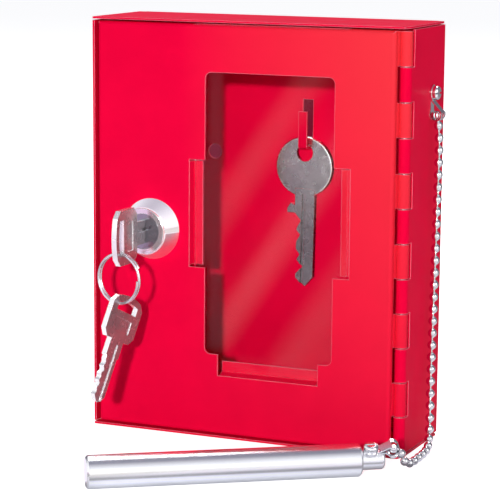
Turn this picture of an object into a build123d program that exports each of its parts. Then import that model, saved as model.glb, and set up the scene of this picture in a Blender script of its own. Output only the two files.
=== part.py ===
from build123d import *
import os
from math import cos, pi, radians, sin, tan

os.makedirs("parts", exist_ok=True)

# Break glass key box: a folded sheet steel case with a glazed door, a cam lock, an
# emergency key on a hook inside, and a rod on a ball chain that breaks the glass.
# X is the width, -Y the front, Z up. The origin is the middle of the base.

# ---------------------------------------------------------------- sizes, in mm
# Case
case_width = 120.0
case_depth = 40.0
case_height = 150.0
sheet = 0.8
case_bend = 1.5
corner_relief = 2.5
wall_seam = 0.45
flange_clip_x = 1.2
flange_clip_y = 4.0
wall_hole_radius = 2.75
wall_hole_spacing = 58.3
wall_hole_height = 98.9

# Hinge
pin_radius = 1.3
pin_clearance = 0.05
pin_end_gap = 4.0
hinge_setback = 4.7
knuckle_count = 12
knuckle_gap = 0.3
knuckle_start = 2.0
knuckle_end = 1.6
curl_slit = 0.25
wall_notch = 2.55

# Door
door_left_gap = 0.5
door_edge_gap = 0.7
door_flange = 8.0
door_bend = 1.2
hinge_return = 2.5
return_offset = 2.3
flange_stop = 3.6

# Window, its retaining tabs and the pane
window_x = 9.25
window_top_margin = 18.25
window_width = 49.0
window_height = 101.0
window_corner = 2.3
tab_width = 37.4
tab_slit = 0.6
tab_slope = 1.2
tab_flat = 3.0
side_tab_reach = 6.15
bottom_tab_reach = 7.75
pane_width = 58.0
pane_height = 121.8
pane_thickness = 2.0
pane_clearance = 0.1
pane_slot_gap = 0.3

# Lock
lock_x = -36.4
lock_z = 74.6
collar_base_radius = 11.0
collar_top_radius = 8.6
collar_height = 6.1
barrel_radius_lock = 7.85
barrel_flat = 6.95
barrel_length = 18.1
lock_clearance = 0.1
head_radius = 8.35
head_height = 1.1
plug_radius = 5.5
plug_clearance = 0.05
plug_head_radius = 6.4
plug_head_height = 1.2
plug_recess = 0.2
keyway_depth = 17.0
wafer_count = 5
wafer_pitch = 2.5
wafer_first = 2.0
wafer_thickness = 1.0
wafer_width = 6.2
wafer_height = 8.6
wafer_ear = 1.2
wafer_clearance = 0.08
spring_wire = 0.1
spring_radius = 0.36
spring_turns = 3.5
tail_size = 6.4
tail_length = 1.7
cam_thickness = 1.6
cam_hub_radius = 7.0
cam_width = 10.0
cam_reach = 20.8
washer_thickness = 0.8
washer_radius = 10.6
nut_across_flats = 20.0
nut_thickness = 3.5
cam_washer_radius = 5.0
cam_washer_thickness = 0.7
cam_screw_radius = 2.0
cam_screw_length = 3.2
cam_screw_head_radius = 3.8
cam_screw_head = 2.4
screw_clearance = 0.05
keeper_thickness = 1.0
keeper_height = 16.0
keeper_lip = 5.8
keeper_foot = 13.0
keeper_gap = 1.1

# Lock keys and ring
key_thickness = 1.9
bow_width = 19.5
bow_length = 16.0
bow_rise = 1.0
bow_corner = 2.4
neck_width = 8.4
neck_length = 6.3
blade_width = 6.8
blade_length = 16.4
key_tip = 2.2
key_slot_width = 12.6
key_slot_rim = 2.2
key_slot_end = 3.0
key_slot_bottom = 5.8
key_panel_width = 10.5
key_panel_height = 4.6
key_panel_depth = 0.3
key_groove_width = 1.3
key_groove_depth = 0.5
key_groove_shift = 0.9
key_cuts = (0.5, 0.9, 0.4, 0.8, 0.6)
key_cut_pitch = 2.6
keyway_clearance = 0.1
ring_wire = 0.5
ring_radius = 8.7
ring_pitch = 1.04
ring_turns = 1.92
ring_yaw = 10.0
ring_seat_gap = 0.8
spare_yaw = 84.5
spare_tilt = 23.7
spare_lean = 6.5
spare_hang_x = -5.0
spare_hang_gap = 0.97

# Emergency key and its hook
hook_x = 8.1
hook_width = 3.4
hook_slot_gap = 0.3
hook_z = 102.2
hook_tip_z = 115.9
hook_stand_off = 6.0
hook_bend = 1.2
hook_slot_top = 119.9
yard_key_radius = 11.1
yard_key_x = 7.6
yard_key_z = 95.3
yard_key_thickness = 2.2
yard_key_step = 0.2
yard_key_lean = 1.0
yard_hole_radius = 3.2
yard_hole_x = 0.2
yard_hole_y = 5.25
yard_key_gap = 0.2
yard_shank_right = 4.55
yard_shank_left = -3.1
yard_peak = -2.3
yard_tip = -44.1
yard_shoulder = -8.0
yard_groove_width = 1.1
yard_groove_depth = 0.6

# Ball chain, its couplings and the clapper
anchor_y = 5.4
anchor_z = 125.8
ball_radius = 1.6
strip_thickness = 0.4
lobe_radius = 2.8
ball_lobe_radius = 2.5
strip_waist = 3.4
fold_width = 2.4
leaf_gap = 0.05
leaf_spread = 2.05
fold_reach = 1.9
coupling_length = 7.8
eye_radius = 1.1
fold_hole_radius = 0.75
screw_radius = 1.45
screw_head_radius = 2.5
screw_head_height = 2.2
screw_slot = 0.7
screw_slot_depth = 0.9
anchor_screw_length = 5.0
nut_flats = 5.5
nut_height = 2.4
clapper_radius = 5.65
clapper_length = 93.06
clapper_end_x = 54.82
clapper_end_y = -45.67
clapper_angle = 34.88
clapper_chamfer = 0.7
stud_radius = 3.5
stud_length = 8.2
stud_round = 1.2
stud_screw_at = 3.2
stud_screw_length = 6.0
clapper_roll = 25.0
ball_height_over_stud = 0.9
link_radius = 0.4
link_reach = 3.05
link_drop = -0.65
link_azimuth = 71.0

# ------------------------------------------------------- sizes that follow
half_width = case_width / 2
half_depth = case_depth / 2
wall_bottom = sheet + wall_seam
wall_top = case_height - wall_bottom
back_inner = half_depth - sheet
hinge_barrel_radius = pin_radius + pin_clearance + sheet
hinge_bore = pin_radius + pin_clearance
hinge_x = half_width - hinge_barrel_radius
hinge_y = -half_depth + hinge_setback
pin_length = case_height - pin_end_gap
hinge_top = case_height - knuckle_end
knuckle_pitch = (hinge_top - knuckle_start) / knuckle_count
knuckle_length = knuckle_pitch - knuckle_gap
body_knuckles = [knuckle_start + knuckle_pitch * i + knuckle_gap / 2 for i in range(0, knuckle_count, 2)]
door_knuckles = [z + knuckle_pitch for z in body_knuckles]

door_left = -half_width + sheet + door_left_gap + sheet
door_right = hinge_x - return_offset
door_bottom = sheet + door_edge_gap
door_top = case_height - door_bottom
door_height = door_top - door_bottom
door_width = door_right - door_left
door_back = -half_depth + door_flange
door_inner = -half_depth + sheet
return_back = -half_depth + hinge_return

pane_front = door_inner + pane_clearance
pane_back = pane_front + pane_thickness
tab_front = pane_back + pane_clearance
window_z = case_height - window_top_margin - window_height / 2
bottom_bend = window_z - window_height / 2 - bottom_tab_reach
pane_bottom = bottom_bend + tab_slope + 2 * pane_clearance

collar_front = -half_depth - collar_height
barrel_rear = collar_front + barrel_length
head_front = collar_front - head_height
plug_front = head_front + plug_recess
plug_seat = plug_front + plug_head_height
cam_front = barrel_rear + plug_clearance
cam_rear = cam_front + cam_thickness
tail_rear = barrel_rear + tail_length
cam_washer_rear = cam_rear + cam_washer_thickness
keeper_rear = cam_front - keeper_gap
keeper_front = keeper_rear - keeper_thickness
key_total = bow_length + neck_length + blade_length


def front_plane(x, y, z):
    """A plane that faces the front, with local x along X and local y along Z."""
    return Plane(origin=(x, y, z), x_dir=(1, 0, 0), z_dir=(0, -1, 0))


def finish(builder, name):
    """Label a finished piece and write it to its own file."""
    builder.part.label = name
    export_step(builder.part, f"parts/{name}.step")


# ------------------------------------------------------------------- the case
def knuckle_planes(heights):
    """One horizontal plane at the foot of each knuckle in the list."""
    return [Plane.XY.offset(z) for z in heights]


with BuildPart() as case_body:
    # side walls and back panel: one strip folded to a U
    with BuildSketch(Plane.XY.offset(wall_bottom)):
        with BuildLine():
            FilletPolyline(
                (-half_width, -half_depth),
                (-half_width, half_depth),
                (half_width, half_depth),
                (half_width, -half_depth),
                radius=case_bend,
            )
            offset(amount=sheet, side=Side.RIGHT)
        make_face()
    extrude(amount=wall_top - wall_bottom)
    # top flange, with the bend that joins it to the back panel
    with BuildSketch(Plane.YZ.offset(-half_width + corner_relief)):
        with BuildLine():
            FilletPolyline(
                (half_depth, case_height - 2 * corner_relief),
                (half_depth, case_height),
                (half_depth - corner_relief, case_height),
                radius=case_bend,
            )
            offset(amount=sheet, side=Side.LEFT)
        make_face()
    extrude(amount=case_width - 2 * corner_relief)
    with BuildSketch(Plane.XY.offset(case_height - sheet)):
        with BuildLine():
            Polyline(
                (-half_width, -half_depth),
                (half_width - flange_clip_x, -half_depth),
                (half_width, -half_depth + flange_clip_y),
                (half_width, half_depth - corner_relief),
                (-half_width, half_depth - corner_relief),
                close=True,
            )
        make_face()
    extrude(amount=sheet)
    with BuildSketch(Plane.XY.offset(case_height - corner_relief)):
        with GridLocations(case_width - corner_relief, case_depth * 2 - corner_relief, 2, 2):
            Rectangle(corner_relief, corner_relief)
        with Locations((0, half_depth - corner_relief / 2)):
            Rectangle(case_width, corner_relief)
        with Locations((0, half_depth - corner_relief / 2)):
            Rectangle(case_width - 2 * corner_relief, corner_relief, mode=Mode.SUBTRACT)
    extrude(amount=corner_relief, mode=Mode.SUBTRACT)
    mirror(about=Plane.XY.offset(case_height / 2))
    # right wall: its front edge is curled round the hinge pin at every second knuckle
    with BuildSketch(Plane.XY.offset(wall_bottom)):
        with Locations((half_width - sheet / 2, (hinge_y - half_depth) / 2)):
            Rectangle(sheet, hinge_y + half_depth)
    extrude(amount=wall_top - wall_bottom, mode=Mode.SUBTRACT)
    with BuildSketch(*knuckle_planes(body_knuckles)):
        with Locations((hinge_x, hinge_y)):
            Circle(hinge_barrel_radius)
            Circle(hinge_bore, mode=Mode.SUBTRACT)
        with Locations((half_width, hinge_y + hinge_barrel_radius / 2)):
            Rectangle(2 * (sheet + curl_slit), hinge_barrel_radius, mode=Mode.SUBTRACT)
    extrude(amount=knuckle_length)
    with BuildSketch(*knuckle_planes([z - knuckle_gap for z in door_knuckles])):
        with Locations((half_width - sheet / 2, hinge_y + wall_notch / 2)):
            Rectangle(sheet, wall_notch)
    extrude(amount=knuckle_length + 2 * knuckle_gap, mode=Mode.SUBTRACT)
    with BuildSketch(Plane.XY.offset(hinge_top - knuckle_gap)):
        with Locations((half_width - sheet / 2, hinge_y + wall_notch / 2)):
            Rectangle(sheet, wall_notch)
    extrude(amount=wall_top - hinge_top + knuckle_gap, mode=Mode.SUBTRACT)
    # holes for the wall screws, and the slot that the hook is cut from
    with BuildSketch(front_plane(0, half_depth, 0)):
        with Locations((0, wall_hole_height)):
            with GridLocations(wall_hole_spacing, 0, 2, 1):
                Circle(wall_hole_radius)
        with Locations((hook_x, (hook_z + hook_slot_top) / 2)):
            Rectangle(hook_width + 2 * hook_slot_gap, hook_slot_top - hook_z)
    extrude(amount=sheet, mode=Mode.SUBTRACT)
    with BuildSketch(Plane.YZ.offset(hook_x - hook_width / 2)):
        with BuildLine():
            FilletPolyline(
                (half_depth, hook_z),
                (half_depth - hook_stand_off, hook_z),
                (half_depth - hook_stand_off, hook_tip_z),
                radius=hook_bend,
            )
            offset(amount=sheet, side=Side.RIGHT)
        make_face()
    extrude(amount=hook_width)
    # hole for the chain's anchor screw
    with BuildSketch(Plane.YZ.offset(half_width - sheet)):
        with Locations((anchor_y, anchor_z)):
            Circle(screw_radius + screw_clearance)
    extrude(amount=sheet, mode=Mode.SUBTRACT)
finish(case_body, "case_body")

# Keeper: an angle welded inside the left wall, that the lock's cam turns in behind
with BuildPart() as keeper_bracket:
    with BuildSketch(Plane.XY.offset(lock_z - keeper_height / 2)):
        with BuildLine():
            FilletPolyline(
                (-half_width + sheet, keeper_front + keeper_foot),
                (-half_width + sheet, keeper_front),
                (-half_width + sheet + keeper_lip, keeper_front),
                radius=keeper_thickness * 1.5,
            )
            offset(amount=keeper_thickness, side=Side.LEFT)
        make_face()
    extrude(amount=keeper_height)
finish(keeper_bracket, "keeper_bracket")

# Hinge pin: one rod through all the knuckles
with BuildPart() as hinge_pin:
    with BuildSketch(Plane.XY.offset((case_height - pin_length) / 2)):
        with Locations((hinge_x, hinge_y)):
            Circle(pin_radius)
    extrude(amount=pin_length)
    chamfer(hinge_pin.edges().filter_by(GeomType.CIRCLE), length=pin_radius / 5)
finish(hinge_pin, "hinge_pin")

# ------------------------------------------------------------------- the door
link_shift = hinge_x - hinge_barrel_radius - (door_right - sheet)
with BuildPart() as door_panel:
    # folded pan
    with BuildSketch(front_plane((door_left + door_right) / 2, door_back, case_height / 2)):
        Rectangle(door_width, door_height)
    extrude(amount=door_flange)
    fillet(door_panel.faces().sort_by(Axis.Y)[0].edges(), radius=door_bend)
    offset(amount=-sheet, openings=door_panel.faces().sort_by(Axis.Y)[-1])
    # hinge side: only a short return, that runs on into the curled knuckles
    with BuildSketch(front_plane(door_right, door_back, case_height / 2)):
        Rectangle(2 * flange_stop, door_height)
    extrude(amount=door_flange - hinge_return, mode=Mode.SUBTRACT)
    with BuildSketch(*knuckle_planes(door_knuckles)):
        with Locations((hinge_x, hinge_y)):
            Circle(hinge_barrel_radius)
            Circle(hinge_bore, mode=Mode.SUBTRACT)
        with BuildLine():
            Polyline(
                (door_right - sheet, return_back),
                (door_right, return_back),
                (door_right + link_shift, hinge_y),
                (door_right - sheet + link_shift, hinge_y),
                close=True,
            )
        make_face()
        with BuildLine():
            Polyline(
                (door_right, return_back),
                (door_right + curl_slit, return_back),
                (door_right + link_shift + curl_slit, hinge_y),
                (door_right + link_shift, hinge_y),
                close=True,
            )
        make_face(mode=Mode.SUBTRACT)
    extrude(amount=knuckle_length)
    # window, and the openings that its three tabs are pressed out of
    with BuildSketch(front_plane(window_x, door_inner, window_z)):
        RectangleRounded(window_width, window_height, window_corner)
        Rectangle(window_width + 2 * side_tab_reach, tab_width + 2 * tab_slit)
        with Locations((0, -window_height / 2 - bottom_tab_reach / 2 + window_corner / 2)):
            Rectangle(tab_width + 2 * tab_slit, bottom_tab_reach + window_corner)
        with Locations((lock_x - window_x, lock_z - window_z)):
            Circle(barrel_radius_lock + lock_clearance)
    extrude(amount=sheet, mode=Mode.SUBTRACT)
    with BuildSketch(front_plane(lock_x, door_inner, lock_z)):
        with GridLocations(2 * (barrel_radius_lock + barrel_flat + 2 * lock_clearance), 0, 2, 1):
            Rectangle(2 * barrel_radius_lock, 2 * barrel_radius_lock)
        Circle(barrel_radius_lock + 2 * lock_clearance, mode=Mode.INTERSECT)
    extrude(amount=sheet)
    # side tabs
    with BuildSketch(Plane(origin=(window_x, 0, window_z - tab_width / 2))):
        with BuildLine():
            Polyline(
                (-window_width / 2 - side_tab_reach - sheet, -half_depth),
                (-window_width / 2 - side_tab_reach, -half_depth),
                (-window_width / 2 - side_tab_reach + tab_slope, tab_front),
                (-window_width / 2 - side_tab_reach + tab_slope + tab_flat, tab_front),
            )
            offset(amount=sheet, side=Side.LEFT)
        make_face()
        mirror(about=Plane.YZ)
    extrude(amount=tab_width)
    # bottom tab, which the pane stands on
    with BuildSketch(Plane.YZ.offset(window_x - tab_width / 2)):
        with BuildLine():
            Polyline(
                (-half_depth, bottom_bend - sheet),
                (-half_depth, bottom_bend),
                (tab_front, bottom_bend + tab_slope),
                (tab_front, bottom_bend + tab_slope + tab_flat + sheet),
            )
            offset(amount=sheet, side=Side.RIGHT)
        make_face()
    extrude(amount=tab_width)
    # slot in the top flange, for sliding in a new pane
    with BuildSketch(Plane.XY.offset(door_top - sheet)):
        with Locations((window_x, (pane_front + pane_back) / 2)):
            Rectangle(pane_width + 2 * pane_slot_gap, pane_thickness + 2 * pane_slot_gap)
    extrude(amount=sheet, mode=Mode.SUBTRACT)
finish(door_panel, "door_panel")

# Glass pane: replaceable, held between the door's skin and the three tabs
with BuildPart() as glass_pane:
    with BuildSketch(front_plane(window_x, pane_back, pane_bottom + pane_height / 2)):
        Rectangle(pane_width, pane_height)
    extrude(amount=pane_thickness)
finish(glass_pane, "glass_pane")


# ------------------------------------------------------------------- the lock
def lock_plane(y):
    """The plane across the lock's axis at depth y, facing the front."""
    return front_plane(lock_x, y, lock_z)


# Collar: the cone that fills the space between the door and the lock's head
with BuildPart(lock_plane(-half_depth)) as lock_collar:
    Cone(collar_base_radius, collar_top_radius, collar_height, align=(Align.CENTER, Align.CENTER, Align.MIN))
    with BuildSketch(lock_plane(-half_depth)):
        Circle(barrel_radius_lock + lock_clearance)
    extrude(amount=collar_height, mode=Mode.SUBTRACT)
finish(lock_collar, "lock_collar")

# Barrel: the lock's body, flat on two sides, with its head in front of the collar
with BuildPart() as lock_barrel:
    with BuildSketch(lock_plane(barrel_rear)):
        Circle(barrel_radius_lock)
        Rectangle(2 * barrel_flat, 2 * barrel_radius_lock, mode=Mode.INTERSECT)
    extrude(amount=barrel_length)
    with BuildSketch(lock_plane(collar_front)):
        Circle(head_radius)
    extrude(amount=head_height)
    chamfer(lock_barrel.edges().filter_by(GeomType.CIRCLE).sort_by(Axis.Y)[0], length=plug_recess)
    with BuildSketch(lock_plane(barrel_rear)):
        Circle(plug_radius + plug_clearance)
    extrude(amount=barrel_length + head_height, mode=Mode.SUBTRACT)
    with BuildSketch(lock_plane(plug_seat + plug_clearance)):
        Circle(plug_head_radius + plug_clearance)
    extrude(amount=plug_head_height + 2 * plug_recess, mode=Mode.SUBTRACT)
    # grooves that the wafers spring out into when the key is drawn
    with BuildSketch(lock_plane(barrel_rear)):
        Rectangle(wafer_width + 2 * wafer_clearance, 2 * plug_radius + 2 * sheet)
    extrude(amount=barrel_length - 2 * plug_head_height, mode=Mode.SUBTRACT)
finish(lock_barrel, "lock_barrel")

# Washer and nut that clamp the barrel to the door
with BuildPart() as lock_washer:
    with BuildSketch(lock_plane(door_inner + washer_thickness)):
        Circle(washer_radius)
        Circle(barrel_radius_lock + lock_clearance, mode=Mode.SUBTRACT)
    extrude(amount=washer_thickness)
finish(lock_washer, "lock_washer")

with BuildPart() as lock_nut:
    with BuildSketch(lock_plane(door_inner + washer_thickness + nut_thickness)):
        RegularPolygon(nut_across_flats / 2, 6, major_radius=False)
        Circle(barrel_radius_lock + screw_clearance, mode=Mode.SUBTRACT)
    extrude(amount=nut_thickness)
finish(lock_nut, "lock_nut")

# Plug: turns in the barrel, with a keyway and a slot for each wafer
wafer_fronts = [plug_seat + wafer_first + wafer_pitch * i for i in range(wafer_count)]
ear_x = wafer_width / 2 + wafer_ear / 2
with BuildPart() as lock_plug:
    with BuildSketch(lock_plane(barrel_rear)):
        Circle(plug_radius)
    extrude(amount=barrel_rear - plug_seat)
    with BuildSketch(lock_plane(plug_seat)):
        Circle(plug_head_radius)
    extrude(amount=plug_head_height)
    with BuildSketch(lock_plane(tail_rear)):
        Rectangle(tail_size, tail_size)
    extrude(amount=tail_length)
    with BuildSketch(lock_plane(plug_front + keyway_depth)):
        Rectangle(key_thickness + 2 * keyway_clearance, blade_width + 2 * keyway_clearance)
    extrude(amount=keyway_depth, mode=Mode.SUBTRACT)
    for front in wafer_fronts:
        with BuildSketch(lock_plane(front + wafer_thickness + wafer_clearance)):
            Rectangle(wafer_width + 2 * wafer_clearance, 2 * plug_radius)
            with Locations((ear_x, -wafer_ear / 2)):
                Rectangle(wafer_ear + 2 * wafer_clearance, 2 * wafer_ear + 2 * wafer_clearance + 1)
        extrude(amount=wafer_thickness + 2 * wafer_clearance, mode=Mode.SUBTRACT)
    with BuildSketch(lock_plane(tail_rear)):
        Circle(cam_screw_radius + screw_clearance)
    extrude(amount=cam_screw_length, mode=Mode.SUBTRACT)
finish(lock_plug, "lock_plug")

# Wafers: five plates that the key's blade passes through
with BuildPart() as lock_wafers:
    for front in wafer_fronts:
        with BuildSketch(lock_plane(front + wafer_thickness)):
            Rectangle(wafer_width, wafer_height)
            with Locations((ear_x, wafer_ear / 2)):
                Rectangle(wafer_ear, wafer_ear / 2)
            Rectangle(key_thickness + 4 * keyway_clearance, blade_width + 4 * keyway_clearance, mode=Mode.SUBTRACT)
        extrude(amount=wafer_thickness)
finish(lock_wafers, "lock_wafers")

# Wafer springs: one small coil under the ear of each wafer
spring_height = wafer_ear * 1.5
with BuildPart() as wafer_springs:
    for front in wafer_fronts:
        foot = (
            lock_x + ear_x + spring_wire,
            front + wafer_thickness / 2,
            lock_z + wafer_ear / 4 - spring_wire - spring_height - wafer_clearance,
        )
        with BuildLine() as coil:
            Helix(spring_height / spring_turns, spring_height, spring_radius, center=foot)
        with BuildSketch(Plane(origin=coil.line @ 0, z_dir=coil.line % 0)):
            Circle(spring_wire)
        sweep(path=coil.line)
finish(wafer_springs, "wafer_springs")

# Cam: hangs down when the door is free, and turns in behind the keeper
with BuildPart() as lock_cam:
    with BuildSketch(lock_plane(cam_rear)):
        Circle(cam_hub_radius)
        with Locations((0, -(cam_reach - cam_width / 2) / 2)):
            Rectangle(cam_width, cam_reach - cam_width / 2)
        with Locations((0, -cam_reach + cam_width / 2)):
            Circle(cam_width / 2)
        Rectangle(tail_size + lock_clearance, tail_size + lock_clearance, mode=Mode.SUBTRACT)
    extrude(amount=cam_thickness)
finish(lock_cam, "lock_cam")

with BuildPart() as cam_washer:
    with BuildSketch(lock_plane(cam_washer_rear)):
        Circle(cam_washer_radius)
        Circle(cam_screw_radius + lock_clearance, mode=Mode.SUBTRACT)
    extrude(amount=cam_washer_thickness - (tail_rear - cam_rear))
finish(cam_washer, "cam_washer")

with BuildPart() as cam_screw:
    with BuildSketch(lock_plane(cam_washer_rear + cam_screw_head)):
        Circle(cam_screw_head_radius)
    extrude(amount=cam_screw_head)
    fillet(cam_screw.edges().filter_by(GeomType.CIRCLE).sort_by(Axis.Y)[-1], radius=cam_screw_head / 3)
    with BuildSketch(lock_plane(cam_washer_rear)):
        Circle(cam_screw_radius)
    extrude(amount=cam_washer_rear - tail_rear + cam_screw_length - lock_clearance)
    with BuildSketch(lock_plane(cam_washer_rear + cam_screw_head)):
        Rectangle(screw_slot, cam_screw_head_radius)
        Rectangle(cam_screw_head_radius, screw_slot)
    extrude(amount=screw_slot_depth, mode=Mode.SUBTRACT)
finish(cam_screw, "cam_screw")


# -------------------------------------------------------------- keys and ring
def cylinder_key(frame):
    """A key of the door's lock. The frame lies at the middle of its bow's outer edge,
    with x across the bow, y away from the tip and z through the thickness."""
    half_bow = bow_width / 2
    shoulder = -bow_length - neck_length
    with BuildPart() as key:
        with BuildSketch(frame):
            with BuildLine():
                ThreePointArc((-half_bow + bow_corner, -bow_rise), (0, 0), (half_bow - bow_corner, -bow_rise))
                Polyline(
                    (half_bow - bow_corner, -bow_rise),
                    (half_bow, -bow_rise - bow_corner),
                    (half_bow, -bow_length + bow_corner),
                    (half_bow - bow_corner, -bow_length),
                    (neck_width / 2, -bow_length),
                    (neck_width / 2, shoulder),
                    (blade_width / 2, shoulder),
                    (blade_width / 2, -key_total + key_tip),
                    (blade_width / 2 - key_tip, -key_total),
                    (-blade_width / 2 + key_tip, -key_total),
                    (-blade_width / 2, -key_total + key_tip),
                    (-blade_width / 2, shoulder),
                    (-neck_width / 2, shoulder),
                    (-neck_width / 2, -bow_length),
                    (-half_bow + bow_corner, -bow_length),
                    (-half_bow, -bow_length + bow_corner),
                    (-half_bow, -bow_rise - bow_corner),
                    (-half_bow + bow_corner, -bow_rise),
                )
            make_face()
            with BuildLine():
                ThreePointArc((-key_slot_width / 2, -key_slot_end), (0, -key_slot_rim), (key_slot_width / 2, -key_slot_end))
                Polyline(
                    (key_slot_width / 2, -key_slot_end),
                    (key_slot_width / 2, -key_slot_bottom),
                    (-key_slot_width / 2, -key_slot_bottom),
                    (-key_slot_width / 2, -key_slot_end),
                )
            make_face(mode=Mode.SUBTRACT)
            for i, depth in enumerate(key_cuts):
                at = shoulder - key_cut_pitch * (i + 1)
                with BuildLine():
                    Polyline(
                        (-blade_width / 2, at + key_cut_pitch / 2),
                        (-blade_width / 2 + depth, at + key_cut_pitch / 6),
                        (-blade_width / 2 + depth, at - key_cut_pitch / 6),
                        (-blade_width / 2, at - key_cut_pitch / 2),
                        close=True,
                    )
                make_face(mode=Mode.SUBTRACT)
        extrude(amount=key_thickness / 2, both=True)
        # sunk panel and blade groove, on both faces
        panel_y = -(key_slot_bottom + bow_length) / 2 + key_panel_depth
        groove_top = -bow_length - neck_length / 3
        for side in (1, -1):
            face = frame.offset(side * key_thickness / 2)
            with BuildSketch(face):
                with Locations((0, panel_y)):
                    Rectangle(key_panel_width, key_panel_height)
            extrude(amount=-side * key_panel_depth, mode=Mode.SUBTRACT)
            with BuildSketch(face):
                with Locations((key_groove_shift * side, (groove_top - key_total) / 2)):
                    Rectangle(key_groove_width, key_total + groove_top)
                with Locations((key_groove_shift * side, groove_top)):
                    Circle(key_groove_width / 2)
            extrude(amount=-side * key_groove_depth, mode=Mode.SUBTRACT)
    return key


# Key in the lock, its blade upright and its shoulder against the plug
lock_key_frame = Plane(
    origin=(lock_x, plug_front - bow_length - neck_length, lock_z), x_dir=(0, 0, 1), z_dir=(1, 0, 0)
)
lock_key = cylinder_key(lock_key_frame)
finish(lock_key, "lock_key")

# Split ring: hangs in the lower end of that key's slot
slot_middle = (key_slot_end + key_slot_bottom) / 2
ring_top_z = lock_z - key_slot_width / 2 + ring_seat_gap
ring_z = ring_top_z - ring_radius
ring_y = plug_front - bow_length - neck_length + slot_middle
ring_normal = (sin(radians(ring_yaw)), cos(radians(ring_yaw)), 0)
ring_height = ring_pitch * ring_turns
ring_start = Vector(lock_x, ring_y, ring_z) - Vector(*ring_normal) * (1.25 * ring_pitch)
with BuildPart() as key_ring:
    with BuildLine() as ring_path:
        Helix(ring_pitch, ring_height, ring_radius, center=ring_start, direction=ring_normal)
    with BuildSketch(Plane(origin=ring_path.line @ 0, z_dir=ring_path.line % 0)):
        Circle(ring_wire)
    sweep(path=ring_path.line, is_frenet=True)
finish(key_ring, "key_ring")

# Spare key: hangs from the foot of the ring by the end of its own slot
spare_across = Vector(1, 0, 0).rotate(Axis.Y, spare_tilt).rotate(Axis.Z, spare_yaw)
spare_face = Vector(0, -1, 0).rotate(Axis.X, spare_lean).rotate(Axis.Y, spare_tilt).rotate(Axis.Z, spare_yaw)
spare_up = spare_face.cross(spare_across)
ring_foot = Vector(lock_x, ring_y, ring_z - ring_radius) - Vector(*ring_normal) * (ring_pitch / 2)
spare_slot_rim = key_slot_rim + (key_slot_end - key_slot_rim) * (2 * spare_hang_x / key_slot_width) ** 2
spare_origin = ring_foot - spare_across * spare_hang_x + spare_up * (spare_slot_rim + spare_hang_gap)
spare_frame = Plane(origin=spare_origin, x_dir=spare_across, z_dir=spare_face)
spare_key = cylinder_key(spare_frame)
finish(spare_key, "spare_key")

# Emergency key: a flat nickel key, hung on the hook behind the glass
lean = radians(yard_key_lean)
yard_back = back_inner - yard_key_gap
yard_frame = Plane(
    origin=(yard_key_x, yard_back, yard_key_z), x_dir=(cos(lean), 0, -sin(lean)), z_dir=(0, -1, 0)
)
with BuildPart() as emergency_key:
    with BuildSketch(yard_frame):
        Circle(yard_key_radius)
        with Locations((yard_hole_x, yard_hole_y)):
            Circle(yard_hole_radius, mode=Mode.SUBTRACT)
    extrude(amount=yard_key_thickness - yard_key_step)
    fillet(emergency_key.faces().sort_by(Axis.Y)[0].outer_wire().edges(), radius=yard_key_step * 2)
    with BuildSketch(yard_frame):
        with BuildLine():
            Polyline(
                (yard_shank_right - 1, yard_shoulder),
                (yard_shank_right, yard_shoulder - 1),
                (yard_shank_right, yard_tip + 3.4),
                (yard_shank_right - 2.95, yard_tip),
                (yard_peak + 2.1, yard_tip + 0.9),
                (yard_peak, yard_tip + 2.9),
                (yard_peak, yard_tip + 4.2),
                (yard_peak + 2.6, yard_tip + 7.0),
                (yard_peak + 0.3, yard_tip + 9.6),
                (yard_peak + 1.5, yard_tip + 11.6),
                (yard_peak, yard_tip + 13.5),
                (yard_peak, yard_tip + 16.2),
                (yard_peak + 1.55, yard_tip + 19.0),
                (yard_peak, yard_tip + 20.6),
                (yard_peak + 0.2, yard_tip + 21.5),
                (yard_peak + 1.7, yard_tip + 24.3),
                (yard_shank_left, yard_tip + 27.0),
                (yard_shank_left - 3.0, yard_tip + 27.0),
                (yard_shank_left - 3.0, yard_tip + 28.5),
                (yard_shank_left - 1.7, yard_tip + 30.5),
                (yard_shank_left, yard_tip + 29.8),
                (yard_shank_left, yard_shoulder),
                close=True,
            )
        make_face()
    extrude(amount=yard_key_thickness)
    with BuildSketch(yard_frame.offset(yard_key_thickness)):
        with Locations((yard_hole_x, (yard_shoulder + yard_tip) / 2 - 1)):
            Rectangle(yard_groove_width, yard_shoulder - yard_tip - 2)
    extrude(amount=-yard_groove_depth, mode=Mode.SUBTRACT)
finish(emergency_key, "emergency_key")


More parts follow.
